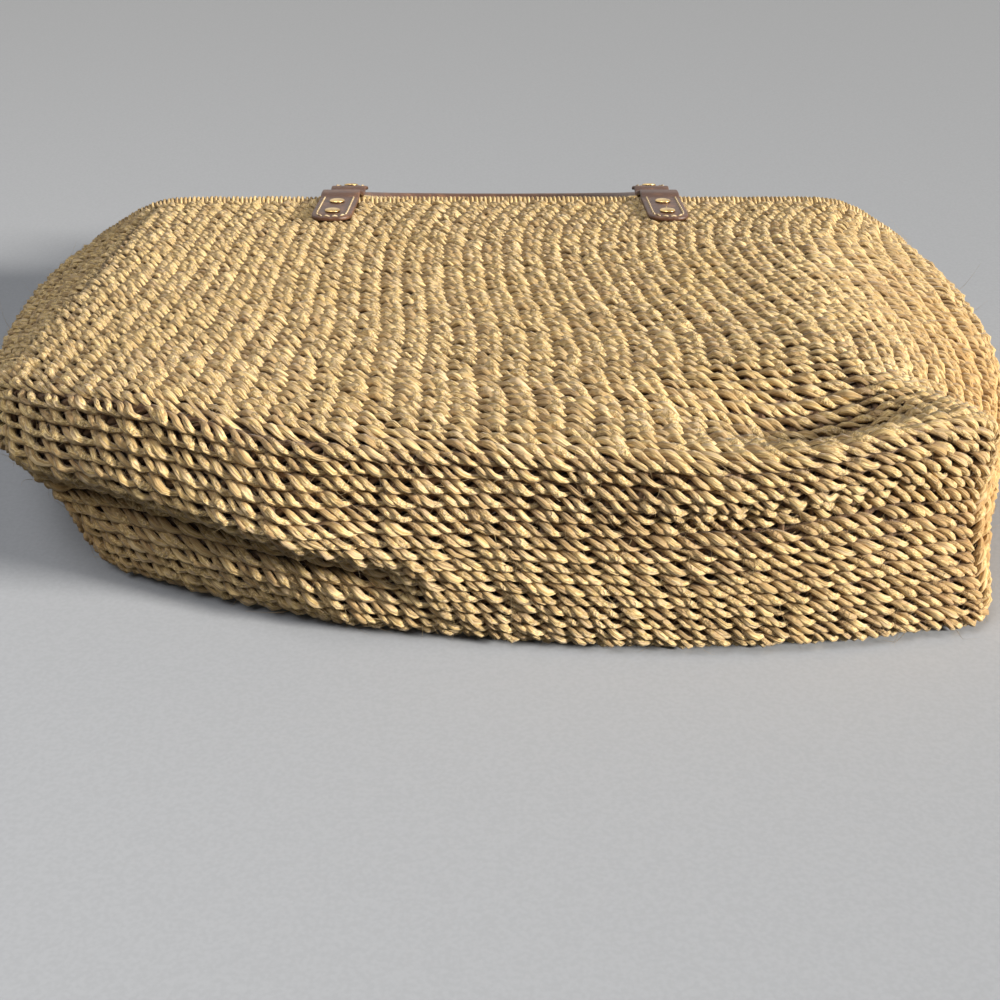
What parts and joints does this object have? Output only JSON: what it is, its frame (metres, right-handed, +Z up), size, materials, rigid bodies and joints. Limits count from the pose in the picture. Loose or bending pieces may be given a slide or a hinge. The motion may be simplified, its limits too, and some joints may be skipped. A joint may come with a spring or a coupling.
{
  "type": "kiondo basket",
  "caption": "Twined sisal carrying basket lying on its back wall, with a flat base, an open mouth, a bound rim and two rolled leather handles that swing on brass rings.",
  "frame": {"origin": "bottom centre of the lying bag's box, handles included, on the surface that it lies on", "axes": "+Z up, -Y towards the base, which faces the viewer of the picture, +Y towards the mouth and the handles, +X to the right"},
  "size_m": [0.3998, 0.4682, 0.0807],
  "materials": {
    "sisal": "undyed twined sisal cord",
    "leather": "dark brown, waxed",
    "brass": "worn satin"
  },
  "bodies": {
    "bag": {"base_weave": "sisal", "wall_courses_01_to_08": "sisal", "wall_courses_09_to_16": "sisal", "wall_courses_17_to_24": "sisal", "wall_courses_25_to_32": "sisal", "wall_courses_33_to_40": "sisal", "wall_courses_41_to_48": "sisal", "wall_courses_49_to_56": "sisal", "rim_binding": "sisal", "front_chape_left": "leather", "front_chape_right": "leather", "back_chape_left": "leather", "back_chape_right": "leather", "front_chape_left_rivet_upper": "brass", "front_chape_left_rivet_lower": "brass", "front_chape_right_rivet_upper": "brass", "front_chape_right_rivet_lower": "brass", "back_chape_left_rivet_upper": "brass", "back_chape_left_rivet_lower": "brass", "back_chape_right_rivet_upper": "brass", "back_chape_right_rivet_lower": "brass"},
    "front_rings": {"front_ring_left": "brass", "front_ring_right": "brass"},
    "front_handle": {"front_handle_roll": "leather", "front_tab_left": "leather", "front_tab_right": "leather", "front_tab_left_rivet": "brass", "front_tab_right_rivet": "brass"},
    "back_rings": {"back_ring_left": "brass", "back_ring_right": "brass"},
    "back_handle": {"back_handle_roll": "leather", "back_tab_left": "leather", "back_tab_right": "leather", "back_tab_left_rivet": "brass", "back_tab_right_rivet": "brass"}
  },
  "joints": [
    {"name": "front_ring_swing", "type": "hinge", "parent": "bag", "child": "front_rings", "pos_m": [0.00091, 0.07945, 0.05606], "axis": [1, 0, 0], "range_deg": [0, 105]},
    {"name": "front_handle_swing", "type": "hinge", "parent": "front_rings", "child": "front_handle", "pos_m": [0.00091, 0.09193, 0.05239], "axis": [1, 0, 0], "range_deg": [0, 65]},
    {"name": "back_ring_swing", "type": "hinge", "parent": "bag", "child": "back_rings", "pos_m": [0.00091, 0.07967, 0.0094], "axis": [1, 0, 0], "range_deg": [-105, 0]},
    {"name": "back_handle_swing", "type": "hinge", "parent": "back_rings", "child": "back_handle", "pos_m": [0.00091, 0.09266, 0.00898], "axis": [1, 0, 0], "range_deg": [-65, 0]}
  ]
}
